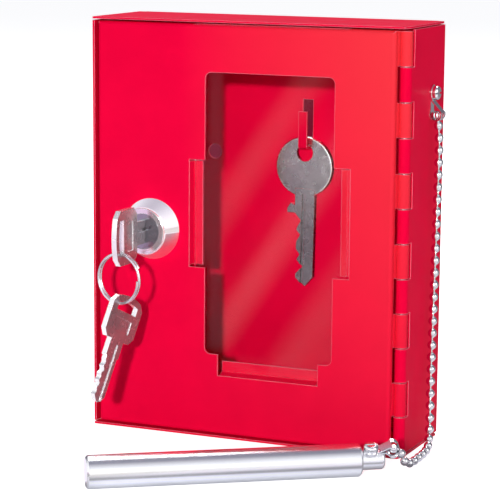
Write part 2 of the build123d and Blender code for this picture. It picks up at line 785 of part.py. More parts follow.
# --------------------------------------------------- chain couplings and screws
def bead_coupling(frame, ball_height, bend_at):
    """A dog-bone strip folded round the chain's end ball, which lies inside it. The
    frame lies at the screw, on the seat, with x towards the ball and z off the seat."""
    low = strip_thickness / 2
    high = low + strip_thickness + leaf_gap
    edge = Plane(origin=frame.origin, x_dir=frame.x_dir, z_dir=-frame.y_dir)
    with BuildPart() as coupling:
        with BuildSketch(edge):
            with BuildLine():
                Polyline(
                    (-lobe_radius, low),
                    (bend_at, low),
                    (coupling_length - fold_reach / 2, ball_height - leaf_spread),
                    (coupling_length, ball_height - leaf_spread),
                )
                ThreePointArc(
                    (coupling_length, ball_height - leaf_spread),
                    (coupling_length + fold_reach, ball_height),
                    (coupling_length, ball_height + leaf_spread),
                )
                Polyline(
                    (coupling_length, ball_height + leaf_spread),
                    (coupling_length - fold_reach / 2, ball_height + leaf_spread),
                    (lobe_radius, high),
                    (-lobe_radius, high),
                )
            trace(line_width=strip_thickness)
        extrude(amount=lobe_radius, both=True)
        with BuildSketch(frame.offset(ball_height - 2 * leaf_spread)):
            Circle(lobe_radius)
            with Locations((coupling_length, 0)):
                Circle(ball_lobe_radius)
                Rectangle(2 * (fold_reach + strip_thickness), fold_width)
            with Locations((coupling_length / 2, 0)):
                Rectangle(coupling_length, strip_waist)
        extrude(amount=4 * leaf_spread + strip_thickness, mode=Mode.INTERSECT)
        with BuildSketch(frame.offset(ball_height - 2 * leaf_spread)):
            Circle(screw_radius + screw_clearance)
            with Locations((coupling_length, 0)):
                Circle(eye_radius)
        extrude(amount=4 * leaf_spread + strip_thickness, mode=Mode.SUBTRACT)
        fold = Plane(
            origin=frame.from_local_coords((coupling_length, 0, ball_height)), z_dir=frame.x_dir
        )
        with BuildSketch(fold):
            Circle(fold_hole_radius)
        extrude(amount=2 * fold_reach, mode=Mode.SUBTRACT)
        with Locations(fold):
            Sphere(ball_radius)
    return coupling


def pan_screw(frame, length):
    """A slotted screw. The frame lies under its head, with z along the shank."""
    with BuildPart() as screw:
        with BuildSketch(frame):
            Circle(screw_radius)
        extrude(amount=length)
        with BuildSketch(frame):
            Circle(screw_head_radius)
        extrude(amount=-screw_head_height)
        head_rim = screw.edges().filter_by(GeomType.CIRCLE).group_by(SortBy.RADIUS)[-1]
        fillet(head_rim.sort_by_distance(frame.origin)[-1], radius=screw_head_height / 2)
        with BuildSketch(frame.offset(-screw_head_height)):
            Rectangle(2 * screw_head_radius, screw_slot)
        extrude(amount=screw_slot_depth, mode=Mode.SUBTRACT)
    return screw


stack = 2 * strip_thickness + leaf_gap
anchor_frame = Plane(origin=(half_width, anchor_y, anchor_z), x_dir=(0, 0, -1), z_dir=(1, 0, 0))
chain_coupling_top = bead_coupling(anchor_frame, strip_thickness / 2 + leaf_spread, lobe_radius)
finish(chain_coupling_top, "chain_coupling_top")

anchor_head = Plane(origin=(half_width + stack, anchor_y, anchor_z), x_dir=(0, 1, 0), z_dir=(-1, 0, 0))
chain_anchor_screw = pan_screw(anchor_head, anchor_screw_length)
finish(chain_anchor_screw, "chain_anchor_screw")

with BuildPart() as chain_anchor_nut:
    with BuildSketch(Plane.YZ.offset(half_width - sheet)):
        with Locations((anchor_y, anchor_z)):
            RegularPolygon(nut_flats / 2, 6, major_radius=False)
            Circle(screw_radius + screw_clearance, mode=Mode.SUBTRACT)
    extrude(amount=-nut_height)
finish(chain_anchor_nut, "chain_anchor_nut")

# Clapper: a rod with a stud, lying on the surface in front of the case
clapper_along = Vector(cos(radians(clapper_angle)), sin(radians(clapper_angle)), 0)
clapper_end = Vector(clapper_end_x, clapper_end_y, clapper_radius)
clapper_side = Vector(0, 0, 1).cross(clapper_along)
screw_out = Vector(0, 0, 1).rotate(Axis(origin=(0, 0, 0), direction=clapper_along), clapper_roll)
end_plane = Plane(origin=clapper_end, x_dir=clapper_side, z_dir=clapper_along)
seat_origin = clapper_end + clapper_along * stud_screw_at + screw_out * stud_radius
seat_frame = Plane(origin=seat_origin, x_dir=clapper_along, z_dir=screw_out)
with BuildPart() as clapper_rod:
    with BuildSketch(end_plane):
        Circle(clapper_radius)
    extrude(amount=-clapper_length)
    chamfer(clapper_rod.edges().filter_by(GeomType.CIRCLE), length=clapper_chamfer)
    with BuildSketch(end_plane):
        Circle(stud_radius)
    extrude(amount=stud_length)
    stud_tip = clapper_rod.edges().filter_by(GeomType.CIRCLE).sort_by(Axis(clapper_end, clapper_along))[-1]
    fillet(stud_tip, radius=stud_round)
    with BuildSketch(seat_frame):
        Circle(screw_radius + screw_clearance)
    extrude(amount=-stud_screw_length, mode=Mode.SUBTRACT)
finish(clapper_rod, "clapper_rod")

chain_coupling_bottom = bead_coupling(seat_frame, ball_height_over_stud, stud_length - stud_screw_at + leaf_gap)
finish(chain_coupling_bottom, "chain_coupling_bottom")

screw_head_plane = Plane(origin=seat_origin + screw_out * stack, x_dir=clapper_along, z_dir=-screw_out)
clapper_screw = pan_screw(screw_head_plane, stack + stud_screw_length - lock_clearance)
finish(clapper_screw, "clapper_screw")

# Ball chain: a plain tube as thick as the balls, along the chain's whole course, down
# the right wall, forward over the surface and up into the clapper's coupling
chain_top = anchor_frame.from_local_coords((coupling_length, 0, strip_thickness / 2 + leaf_spread))
chain_foot = seat_frame.from_local_coords((coupling_length, 0, ball_height_over_stud))
chain_points = [
    (62.55, 5.40, 115.8),
    (63.25, 5.45, 110.6),
    (63.10, 5.60, 100.5),
    (62.85, 5.50, 81.0),
    (62.45, 4.90, 47.0),
    (62.30, 4.10, 25.0),
    (62.80, 2.70, 12.6),
    (64.30, -1.90, 5.3),
    (66.10, -7.80, 2.6),
    (67.05, -14.0, 2.1),
    (67.15, -21.5, 1.9),
    (67.10, -27.6, 1.75),
    (66.65, -32.2, 2.3),
    (66.40, -35.3, 4.8),
    (66.10, -36.45, 7.1),
    (65.85, -37.15, 8.3),
]


def corner_radii(points):
    """For each corner, the largest arc that its two runs leave room for."""
    radii = []
    for before, here, after in zip(points, points[1:], points[2:]):
        into = Vector(*here) - Vector(*before)
        out = Vector(*after) - Vector(*here)
        half_turn = radians(into.get_angle(out)) / 2
        radii.append(0.45 * min(into.length, out.length) / tan(half_turn))
    return radii


chain_radii = corner_radii(chain_points)
with BuildPart() as ball_chain:
    with BuildLine() as chain_path:
        FilletPolyline(*chain_points, radius=chain_radii)
    with BuildSketch(Plane(origin=chain_path.line @ 0, z_dir=chain_path.line % 0)):
        Circle(ball_radius)
    sweep(path=chain_path.line)
    tube_volume = ball_chain.part.volume
    # last wire link, that stops just short of the coupling's swinging fold
    tube_end = Vector(*chain_points[-1])
    link_end = chain_foot + Vector(link_reach, 0, link_drop).rotate(Axis.Z, link_azimuth)
    with BuildSketch(Plane(origin=link_end, z_dir=tube_end - link_end)):
        Circle(link_radius)
    extrude(amount=(tube_end - link_end).length)
finish(ball_chain, "ball_chain")

chain_length = chain_path.wire().length
print("chain radii", [round(radius, 1) for radius in chain_radii])
print("chain length", round(chain_length, 2), "volume", round(tube_volume, 2))
print("section times length", round(pi * ball_radius**2 * chain_length, 2))
print("chain ends", chain_top, chain_foot)
print("lock axis", lock_x, lock_z, "hinge axis", round(hinge_x, 3), round(hinge_y, 3))
print("ring foot", ring_foot, "ring top z", ring_top_z, "ring y", ring_y, "spare normal", spare_face)
print("seat", seat_origin, "screw out", screw_out)
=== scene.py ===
import math

import bmesh
import bpy
from mathutils import Matrix, Vector


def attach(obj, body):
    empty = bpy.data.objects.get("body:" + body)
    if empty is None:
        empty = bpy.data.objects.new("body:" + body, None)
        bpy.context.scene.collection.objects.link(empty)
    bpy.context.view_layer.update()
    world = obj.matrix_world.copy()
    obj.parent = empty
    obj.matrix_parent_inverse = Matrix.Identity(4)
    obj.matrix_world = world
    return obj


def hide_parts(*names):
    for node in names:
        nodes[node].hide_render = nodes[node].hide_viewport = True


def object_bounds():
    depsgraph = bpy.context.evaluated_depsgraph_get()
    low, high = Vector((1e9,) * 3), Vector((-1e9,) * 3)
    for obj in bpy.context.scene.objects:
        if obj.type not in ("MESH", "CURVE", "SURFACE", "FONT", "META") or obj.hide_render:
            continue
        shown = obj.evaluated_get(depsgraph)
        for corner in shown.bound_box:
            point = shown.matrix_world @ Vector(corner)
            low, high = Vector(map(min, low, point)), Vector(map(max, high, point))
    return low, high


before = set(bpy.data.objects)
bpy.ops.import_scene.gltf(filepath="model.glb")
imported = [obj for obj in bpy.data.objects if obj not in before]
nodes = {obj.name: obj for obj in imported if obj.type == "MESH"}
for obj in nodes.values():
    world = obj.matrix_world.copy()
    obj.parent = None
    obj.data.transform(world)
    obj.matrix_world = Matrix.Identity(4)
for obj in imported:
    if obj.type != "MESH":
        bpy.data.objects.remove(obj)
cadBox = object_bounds()
scene = bpy.context.scene
mm = 0.001
print("frame loaded,", len(nodes), "nodes")


# ---- camera, at the photograph's place and angle
cameraView = {
    "place": (0.3009052, -0.6975514, 0.1944672),
    "azimuth": 0.4150,  # radians, to the right of straight ahead
    "pitch": 0.1670,  # looking down
    "roll": -0.0072,
    "lens": 153.09,
    "sensor": 36.0,
    "near": 0.01,
    "far": 50,
}


def makeCamera(view):
    turn, tilt = view["azimuth"], view["pitch"]
    right, up = Vector((math.cos(turn), math.sin(turn), 0)), Vector((0, 0, 1))
    ahead = Vector((-math.sin(turn), math.cos(turn), 0))
    look = ahead * math.cos(tilt) - up * math.sin(tilt)
    top = ahead * math.sin(tilt) + up * math.cos(tilt)
    data = bpy.data.cameras.new("photoCamera")
    data.lens, data.sensor_width = view["lens"], view["sensor"]
    data.clip_start, data.clip_end = view["near"], view["far"]
    camera = bpy.data.objects.new("photoCamera", data)
    scene.collection.objects.link(camera)
    turned = Matrix((right, top, -look)).transposed().to_4x4()
    turned = turned @ Matrix.Rotation(-view["roll"], 4, "Z")
    camera.matrix_world = Matrix.Translation(view["place"]) @ turned
    scene.camera = camera


makeCamera(cameraView)
print("camera placed")


# ---- shader nodes
class Wiring:
    # a tree of nodes, made from parts that are sockets or plain values
    def __init__(self, tree):
        self.tree = tree

    def add(self, kind, **settings):
        node = self.tree.nodes.new("ShaderNode" + kind)
        for name, value in settings.items():
            setattr(node, name, value)
        return node

    def feed(self, part, target):
        if isinstance(part, bpy.types.NodeSocket):
            self.tree.links.new(part, target)
        elif target.type == "RGBA":
            target.default_value = (*part, 1)
        else:
            target.default_value = part

    def made(self, kind, *parts, **settings):
        # a new node with the parts on its first inputs in use, and its first output in use
        node = self.add(kind, **settings)
        for part, target in zip(parts, [each for each in node.inputs if each.enabled]):
            self.feed(part, target)
        return next(each for each in node.outputs if each.enabled)

    def place(self, kind="Object"):
        return self.add("TexCoord").outputs[kind]

    def split(self, source):
        node = self.add("SeparateXYZ")
        self.feed(source, node.inputs[0])
        return node.outputs

    def maths(self, operation, *parts):
        return self.made("Math", *parts, operation=operation)

    def vector(self, operation, *parts):
        return self.made("VectorMath", *parts, operation=operation)

    def spread(self, source, low=0, high=1, start=0, stop=1):
        return self.made("MapRange", source, start, stop, low, high)

    def mixed(self, factor, first, second, kind="MIX"):
        return self.made("Mix", factor, first, second, data_type="RGBA", blend_type=kind)

    def ramp(self, source, stops, interpolation="LINEAR"):
        node = self.add("ValToRGB")
        node.color_ramp.interpolation = interpolation
        elements = node.color_ramp.elements
        while len(elements) < len(stops):
            elements.new(0.5)
        for element, (position, colour) in zip(elements, stops):
            element.position = position
            element.color = (*colour, 1)
        self.feed(source, node.inputs[0])
        return node.outputs[0]

    def greyRamp(self, source, stops, interpolation="LINEAR"):
        return self.ramp(source, [(spot, (level,) * 3) for spot, level in stops], interpolation)


# ---- lamps, world and floor
lamps = {
    # degrees to the right of straight ahead and above the ground, then metres and watts
    "keyLamp": {"azimuth": 14, "height": 12.6, "distance": 1.7, "size": 0.10, "power": 19.0},
    "sideLamp": {"azimuth": 80, "height": 20, "distance": 1.3, "size": 0.8, "power": 2.3},
    "backLamp": {"azimuth": 198, "height": 58, "distance": 1.3, "size": 0.9, "power": 16.0},
}
lampAim = Vector((0, 0, 75 * mm))


def addLamp(name, values):
    turn, rise = math.radians(values["azimuth"]), math.radians(values["height"])
    away = Vector((math.sin(turn) * math.cos(rise), -math.cos(turn) * math.cos(rise), math.sin(rise)))
    data = bpy.data.lights.new(name, "AREA")
    data.shape, data.size, data.energy = "DISK", values["size"], values["power"]
    light = bpy.data.objects.new(name, data)
    scene.collection.objects.link(light)
    light.location = lampAim + away * values["distance"]
    light.rotation_mode = "QUATERNION"
    light.rotation_quaternion = (-away).to_track_quat("-Z", "Y")


for lampName, lampValues in lamps.items():
    addLamp(lampName, lampValues)

worldLight = {
    "seen": (0.8, 0.8, 0.8),  # by the camera
    "ambient": (0.125, 0.13, 0.15),
    # what polished metal sees, from level to straight up, and where the front turns to the back
    "front": [
        (0.50, (1.1, 1.1, 1.1)), (0.66, (1.1, 1.1, 1.1)), (0.83, (0.80, 0.81, 0.88)),
        (0.91, (0.60, 0.59, 0.66)), (0.97, (0.24, 0.24, 0.31)),
    ],
    "behind": [
        (0.50, (0.30, 0.30, 0.34)), (0.62, (0.14, 0.13, 0.16)), (0.75, (0.20, 0.19, 0.23)),
        (0.97, (0.24, 0.24, 0.31)),
    ],
    "turn": (-0.25, 0.35),
}


def straightRay(kit):
    # 1 on the camera's own rays, also past the glass
    path = kit.add("LightPath").outputs
    return kit.maths("MAXIMUM", path["Is Camera Ray"], path["Is Transmission Ray"])


def mirrorRay(kit):
    return kit.add("LightPath").outputs["Is Glossy Ray"]


def makeWorld(values):
    world = bpy.data.worlds.new("studio")
    scene.world = world
    world.use_nodes = True
    world.node_tree.nodes.clear()
    kit = Wiring(world.node_tree)
    way = kit.split(kit.place("Generated"))
    upward = kit.spread(way["Z"], start=-1)
    front, behind = (kit.ramp(upward, values[side]) for side in ("front", "behind"))
    start, stop = values["turn"]
    shine = kit.mixed(kit.spread(way["Y"], start=start, stop=stop), front, behind)
    ambient, seen = (kit.made("Background", values[part]) for part in ("ambient", "seen"))
    lit = kit.made("MixShader", mirrorRay(kit), ambient, kit.made("Background", shine))
    whole = kit.made("MixShader", straightRay(kit), lit, seen)
    kit.feed(whole, kit.add("OutputWorld").inputs["Surface"])


makeWorld(worldLight)


def objectFrom(name, work):
    mesh = bpy.data.meshes.new(name)
    work.to_mesh(mesh)
    work.free()
    piece = bpy.data.objects.new(name, mesh)
    scene.collection.objects.link(piece)
    return piece


def stageSheet(name, size, matrix, surface):
    # a square sheet of the studio, with the shader that the function surface makes
    work = bmesh.new()
    corners = bmesh.ops.create_grid(work, x_segments=1, y_segments=1, size=size)["verts"]
    bmesh.ops.transform(work, matrix=matrix, verts=corners)
    sheet = objectFrom(name, work)
    material = bpy.data.materials.new(name)
    material.use_nodes = True
    material.node_tree.nodes.clear()
    kit = Wiring(material.node_tree)
    kit.feed(surface(kit), kit.add("OutputMaterial").inputs["Surface"])
    sheet.data.materials.append(material)


floorLook = {
    "half": 6.0,
    "colour": (0.9, 0.9, 0.91),
    "glow": 0.84,
    # what polished metal sees in it in front of the object, and how dim it goes behind
    "tone": (0.92, 0.94, 1.12), "mirrored": 0.62, "behind": 0.22, "gradient": 0.16,
    # soft warm bands of light that all run out from one point of the floor, by their slope there
    "bands": {
        "centre": (0.1943, 0.7424, 0), "from": 0.24, "to": 0.38, "near": -0.15, "full": -0.10,
        "tone": (0.97, 0.90, 0.72),
        "stops": [
            (0.06, 0.55), (0.13, 0.74), (0.26, 0.0), (0.34, 0.0), (0.45, 1.05),
            (0.54, 0.05), (0.62, 0.0), (0.74, 0.74), (0.84, 0.0),
        ],
    },
    # left of the bands an even lilac glow, a painted reflection in the glass over the shaded inside, again by
    # the slope from one point
    "lilac": {
        "centre": (0.3009, 0.6596, 0), "from": 0.4555, "to": 0.4585, "level": 0.55,
        "tone": (1.4, 0.66, 1.30),
    },
    # a painted shadow of the rod, a grey line along it in the floor as metal sees it, measured across it from
    # its foot
    "line": {
        "across": (0.5719, -0.8203, 0), "from": 58.81 * mm, "to": 108.81 * mm,
        "stops": [
            (0.0, 1.0), (0.08, 0.3), (0.2, 0.3), (0.27, 0.6), (0.32, 0.95),
            (0.37, 0.95), (0.41, 0.3), (0.46, 0.35), (0.56, 0.75), (0.76, 1.0),
        ],
    },
}


def slopeAround(kit, place, part):
    shifted = kit.split(kit.vector("SUBTRACT", place, part["centre"]))
    slope = kit.maths("DIVIDE", shifted["X"], shifted["Y"])
    return kit.spread(slope, start=part["from"], stop=part["to"])


def floorInMirrors(kit, values):
    bands, lilac, line = values["bands"], values["lilac"], values["line"]
    place = kit.place()
    depth = kit.split(place)["Y"]
    # the painted lilac glow left of the bands
    left = slopeAround(kit, place, lilac)
    band = kit.greyRamp(slopeAround(kit, place, bands), bands["stops"], "EASE")
    patch = kit.made("Mix", left, band, lilac["level"])
    patchTone = kit.mixed(left, bands["tone"], lilac["tone"])
    # the bands lie further out, past the rod
    close = kit.spread(depth, start=bands["near"], stop=bands["full"])
    tone = kit.mixed(close, patchTone, values["tone"])
    # the rod's painted shadow, seen only in reflections
    ahead = kit.vector("DOT_PRODUCT", place, line["across"])
    rodShadowLine = kit.greyRamp(kit.spread(ahead, start=line["from"], stop=line["to"]), line["stops"])
    level = kit.maths("MULTIPLY", rodShadowLine, kit.maths("MAXIMUM", close, patch))
    gradient = kit.spread(depth, 1, values["behind"], -values["gradient"], values["gradient"])
    bright = kit.maths("MULTIPLY", gradient, level)
    image = kit.made("BsdfDiffuse", kit.mixed(bright, (0, 0, 0), values["colour"]))
    glint = kit.made("Emission", tone, kit.maths("MULTIPLY", bright, values["mirrored"]))
    return kit.made("AddShader", image, glint)


def floorSurface(kit):
    matte = kit.made("BsdfDiffuse", floorLook["colour"])
    glowing = kit.made("AddShader", matte, kit.made("Emission", (1, 1, 1), floorLook["glow"]))
    plain = kit.made("MixShader", straightRay(kit), matte, glowing)
    return kit.made("MixShader", mirrorRay(kit), plain, floorInMirrors(kit, floorLook))


stageSheet("floor", floorLook["half"], Matrix(), floorSurface)

# a dim glowing card, painted shade that shows through the back's holes, only where it is seen through the
# glass
holeShadeCard = {"half": 55 * mm, "middle": 80 * mm, "gap": 1.5 * mm, "colour": (0.18, 0.008, 0.026)}


def holeShadeSurface(kit):
    through = kit.add("LightPath").outputs["Is Transmission Ray"]
    dim = kit.made("Emission", holeShadeCard["colour"])
    return kit.made("MixShader", through, kit.made("BsdfTransparent"), dim)


holeShadePlace = Matrix.Translation((0, cadBox[1][1] + holeShadeCard["gap"], holeShadeCard["middle"]))
stageSheet("holeShadeCard", holeShadeCard["half"], holeShadePlace @ Matrix.Rotation(math.pi / 2, 4, "X"), holeShadeSurface)
scene.view_settings.view_transform = "Standard"
print("studio ready")


# ---- finishes
noiseRange = (0.3, 0.7)  # the middle of a noise's values, which it seldom leaves
edgeTurn = (0.86, 0.985)  # how far a rounded edge's normal agrees with its face, on the painted highlight line drawn there


class Finish(Wiring):
    # one Principled material; a noise is given as its scale and detail
    def __init__(self, name, colour, metal=0.0, edge=0.0):
        self.material = bpy.data.materials.new(name)
        self.material.use_nodes = True
        super().__init__(self.material.node_tree)
        self.shader = self.tree.nodes["Principled BSDF"]
        self.base = self.shader.inputs["Base Color"]
        self.base.default_value = (*colour, 1)
        self.shader.inputs["Metallic"].default_value = metal
        self.here = self.place()
        self.normal = None
        self.rounded = None
        if edge:
            self.normal = self.rounded = self.made("Bevel", edge, samples=4)
            self.feed(self.normal, self.shader.inputs["Normal"])

    def stretched(self, scale, turn=(0, 0, 0)):
        return self.made("Mapping", self.here, (0, 0, 0), turn, scale)

    def cloud(self, noise, place=None):
        return self.made("TexNoise", place or self.here, *noise)

    def tint(self, noise, dark, light, reach=(0, 1)):
        start, stop = reach
        shade = self.spread(self.cloud(noise), start=start, stop=stop)
        self.feed(self.ramp(shade, [(0, dark), (1, light)]), self.base)

    def roughen(self, noise, rough, place=None):
        self.feed(self.spread(self.cloud(noise, place), *rough, *noiseRange), self.shader.inputs["Roughness"])

    def bump(self, height, distance, strength):
        node = self.add("Bump")
        self.feed(strength, node.inputs["Strength"])
        self.feed(distance, node.inputs["Distance"])
        self.feed(height, node.inputs["Height"])
        if self.normal:
            self.feed(self.normal, node.inputs["Normal"])
        self.normal = node.outputs[0]
        self.feed(self.normal, self.shader.inputs["Normal"])

    def blend(self, factor, colour, kind="MIX"):
        # what the base colour is so far, mixed with one more colour
        under = self.base.links[0].from_socket if self.base.links else self.base.default_value[:3]
        self.feed(self.mixed(factor, under, colour, kind), self.base)

    def facing(self, axis, absolute=True):
        # how far a face turns towards one of the piece's own axes
        part = self.split(self.place("Normal"))[axis]
        return self.maths("ABSOLUTE", part) if absolute else part

    def paintEdgeHighlight(self, colour, amount):
        # a painted highlight line where the rounded normal turns away from the face's own
        face = self.add("NewGeometry").outputs["Normal"]
        turn = self.vector("DOT_PRODUCT", face, self.rounded)
        self.blend(self.spread(turn, amount, 0, *edgeTurn), colour)

    def turned(self, centre, pitch, depth, strength):
        # rings left by the lathe round an axis along Y
        x, z = centre
        wave = self.add("TexWave", wave_type="RINGS", rings_direction="Y")
        self.feed(self.made("Mapping", self.here, (-x, 0, -z)), wave.inputs["Vector"])
        self.feed(math.pi / 10 / pitch, wave.inputs["Scale"])
        self.bump(wave.outputs["Fac"], depth, strength)


redLook = {
    "dark": (0.80, 0.0008, 0.040), "light": (0.86, 0.0012, 0.044), "mottle": (70, 4), "gloss": 0.01,
    # a pinkish painted highlight along the edges
    "edge": 0.35 * mm, "edgeHighlightColour": (1.0, 0.42, 0.56), "edgeHighlightAmount": 0.85,
    "patches": (140, 3), "rough": (0.28, 0.38),
    "grain": (1500, 2), "grainHeight": 0.02 * mm, "grainStrength": 0.25,
}
# a painted sheen: the door turns a little lighter and more orange towards its hinge and its top
doorPaintedSheen = {"X": (-25 * mm, 62 * mm), "Z": (-10 * mm, 150 * mm), "colour": (0.86, 0.040, 0.052)}


def powderCoat(name, values, gradient=None):
    finish = Finish(name, values["light"], edge=values["edge"])
    finish.shader.inputs["Specular IOR Level"].default_value = values["gloss"]
    finish.tint(values["mottle"], values["dark"], values["light"], noiseRange)
    # where given, a painted sheen that lightens the colour towards one corner
    if gradient:
        place = finish.split(finish.here)
        across, upward = (
            finish.spread(place[axis], start=gradient[axis][0], stop=gradient[axis][1]) for axis in "XZ"
        )
        finish.blend(finish.maths("MULTIPLY", across, upward), gradient["colour"])
    finish.paintEdgeHighlight(values["edgeHighlightColour"], values["edgeHighlightAmount"])
    finish.roughen(values["patches"], values["rough"])
    finish.bump(finish.cloud(values["grain"]), values["grainHeight"], values["grainStrength"])
    return finish.material


lockAxis = (-36.4 * mm, 74.6 * mm)
headLook = {"colour": (0.92, 0.92, 0.95), "pitch": 0.7 * mm}
plugLook = {"colour": (0.34, 0.35, 0.40), "pitch": 0.4 * mm}
chromeLook = {
    # a white painted highlight along the edges
    "edge": 0.3 * mm, "edgeHighlightColour": (1, 1, 1), "edgeHighlightAmount": 0.9,
    "ringDepth": 0.01 * mm, "ringStrength": 0.5, "patches": (500, 4), "rough": (0.12, 0.2),
}


def polishedChrome(name, own, values):
    finish = Finish(name, own["colour"], 1.0, values["edge"])
    finish.paintEdgeHighlight(values["edgeHighlightColour"], values["edgeHighlightAmount"])
    finish.turned(lockAxis, own["pitch"], values["ringDepth"], values["ringStrength"])
    finish.roughen(values["patches"], values["rough"])
    return finish.material


collarLook = {
    # the pink in its colour is a painted reflection of the red door
    "colour": (1.0, 0.92, 0.97), "lean": (0.0, 0.95), "rough": (0.42, 0.15),
    "from": 73.8 * mm, "to": 74.6 * mm,
    "grain": (1200, 3), "grainHeight": 0.004 * mm, "grainStrength": 0.4,
}


def collarFinish(values):
    # its upper half is ground flatter, so it looks out at the room and not at the door
    finish = Finish("collarChrome", values["colour"], 1.0)
    height = finish.split(finish.here)["Z"]
    lean = finish.spread(height, *values["lean"], values["from"], values["to"])
    ahead = finish.made(
        "VectorTransform", (0, -1, 0), vector_type="NORMAL", convert_from="OBJECT", convert_to="WORLD"
    )
    face = finish.add("NewGeometry").outputs["Normal"]
    leaning = finish.vector("ADD", face, finish.vector("SCALE", ahead, lean))
    finish.normal = finish.vector("NORMALIZE", leaning)
    finish.bump(finish.cloud(values["grain"]), values["grainHeight"], values["grainStrength"])
    rough = finish.spread(height, *values["rough"], values["from"], values["to"])
    finish.feed(rough, finish.shader.inputs["Roughness"])
    return finish.material


zincLook = {
    "dark": (0.55, 0.56, 0.57), "light": (0.78, 0.78, 0.79), "spangle": (260, 5), "edge": 0.2 * mm,
    "patches": (320, 4), "rough": (0.28, 0.46),
    "grain": (1400, 3), "grainHeight": 0.01 * mm, "grainStrength": 0.4,
}


def zincPlate(values):
    finish = Finish("zincPlate", values["light"], 1.0, values["edge"])
    finish.tint(values["spangle"], values["dark"], values["light"])
    finish.roughen(values["patches"], values["rough"])
    finish.bump(finish.cloud(values["grain"]), values["grainHeight"], values["grainStrength"])
    return finish.material


wireLook = {
    "colour": (0.55, 0.55, 0.57), "streaks": (900, 3), "along": (1, 1, 0.05), "rough": (0.22, 0.4),
}


def drawnWire(values):
    finish = Finish("drawnWire", values["colour"], 1.0)
    finish.roughen(values["streaks"], values["rough"], finish.stretched(values["along"]))
    return finish.material


brassLook = {"colour": (0.80, 0.62, 0.30), "edge": 0.1 * mm, "patches": (700, 3), "rough": (0.24, 0.4)}
chainLook = {"colour": (0.86, 0.86, 0.88), "edge": 0.0, "patches": (1100, 3), "rough": (0.07, 0.13)}
beadLook = chainLook | {"colour": (0.78, 0.78, 0.80)}
# the links are coloured dark as painted shade between the beads
linkLook = chainLook | {"colour": (0.30, 0.29, 0.30)}


def plainMetal(name, values):
    finish = Finish(name, values["colour"], 1.0, values["edge"])
    finish.roughen(values["patches"], values["rough"])
    return finish.material


nickelLook = {
    # a white painted highlight along the edges
    "mottle": (230, 5), "reach": (0.25, 0.75), "edgeHighlightColour": (1, 1, 1), "edgeHighlightAmount": 0.8,
    "patches": (420, 5), "rough": (0.2, 0.3), "scratches": (1500, 2), "scratchStrength": 0.3,
    "upward": (1, 1, 0.06), "upwardHeight": 0.004 * mm,
    "across": (0.06, 0.06, 1), "acrossHeight": 0.003 * mm,
}
ringLook = nickelLook | {"dark": (0.66, 0.66, 0.68), "light": (0.82, 0.82, 0.84), "edge": 0.0, "metal": 1.0}
flatKeyLook = nickelLook | {
    "dark": (0.34, 0.29, 0.315), "light": (0.46, 0.41, 0.44), "milled": (0.97, 0.96, 0.98),
    "edge": 0.2 * mm, "metal": 0.6,
    "sides": (0.45, 0.85),  # how far a face turns to its side, from milled to rolled
}
hookKeyLook = nickelLook | {
    "dark": (0.42, 0.395, 0.415), "light": (0.56, 0.53, 0.555), "edge": 0.3 * mm, "metal": 1.0,
    # its bow's middle and rim, and heights from that middle where the rim ends and the shank darkens
    "centre": (7.6 * mm, 95.3 * mm), "rim": (10.3 * mm, 10.8 * mm), "rimFoot": (-9 * mm, -8 * mm),
    "shankDarker": (0.55, 0.52, 0.55), "shankDarkerFrom": (-20 * mm, 2 * mm),
    # a painted highlight on the edges, and painted shade on the faces that look to the right, by how far a
    # face turns
    "paintedHighlight": (0.97, 0.96, 0.97), "front": (0.80, 0.97),
    "paintedShade": (0.07, 0.055, 0.06), "right": (0.4, 0.8),
}


def tumbledNickel(name, values):
    # nickel silver with fine scratches both ways and a few rubbed patches
    finish = Finish(name, values["light"], values["metal"], values["edge"])
    finish.tint(values["mottle"], values["dark"], values["light"], values["reach"])
    if values["edge"]:
        finish.paintEdgeHighlight(values["edgeHighlightColour"], values["edgeHighlightAmount"])
    finish.roughen(values["patches"], values["rough"])
    for way in ("upward", "across"):
        scratches = finish.cloud(values["scratches"], finish.stretched(values[way]))
        finish.bump(scratches, values[way + "Height"], values["scratchStrength"])
    return finish


def flatKeyFinish(values):
    # dull rolled faces and brightly milled edges; both keys lie across the X axis
    finish = tumbledNickel("keyNickel", values)
    finish.blend(finish.spread(finish.facing("X"), 1, 0, *values["sides"]), values["milled"])
    return finish


def hookKeyFinish(values):
    # a painted highlight on the rim of its bow and on its edges, painted shade on the faces turned to the
    # right, and the shank darker
    finish = tumbledNickel("hookKeyNickel", values)
    x, z = values["centre"]
    radius = finish.vector("LENGTH", finish.made("Mapping", finish.here, (-x, 0, -z), (0, 0, 0), (1, 0, 1)))
    height = finish.split(finish.here)["Z"]
    # darker towards the shank
    darkerStart, darkerStop = (z + shift for shift in values["shankDarkerFrom"])
    finish.blend(finish.spread(height, 1, 0, darkerStart, darkerStop), values["shankDarker"], "MULTIPLY")
    footStart, footStop = (z + shift for shift in values["rimFoot"])
    # a painted highlight round the rim of the bow
    onRim = finish.spread(radius, 0, 1, *values["rim"])
    onBow = finish.spread(height, 0, 1, footStart, footStop)
    finish.blend(finish.maths("MULTIPLY", onRim, onBow), values["paintedHighlight"])
    # a painted highlight on the edges
    finish.blend(finish.spread(finish.facing("Y"), 1, 0, *values["front"]), values["paintedHighlight"])
    # painted shade on the faces that look to the right
    finish.blend(finish.spread(finish.facing("X", False), 0, 1, *values["right"]), values["paintedShade"])
    return finish


rodLook = {
    "turn": 34.88,  # degrees from the X axis to the rod's own
    "dark": (0.90, 0.905, 0.925), "light": (0.96, 0.965, 0.98), "mottle": (90, 4), "edge": 0.2 * mm,
    "rings": (1, 0.02, 0.02), "patches": (2600, 2), "rough": (0.23, 0.27),
    "grooves": (4200, 2), "grooveDepth": 0.0004 * mm, "grooveStrength": 0.3,
}


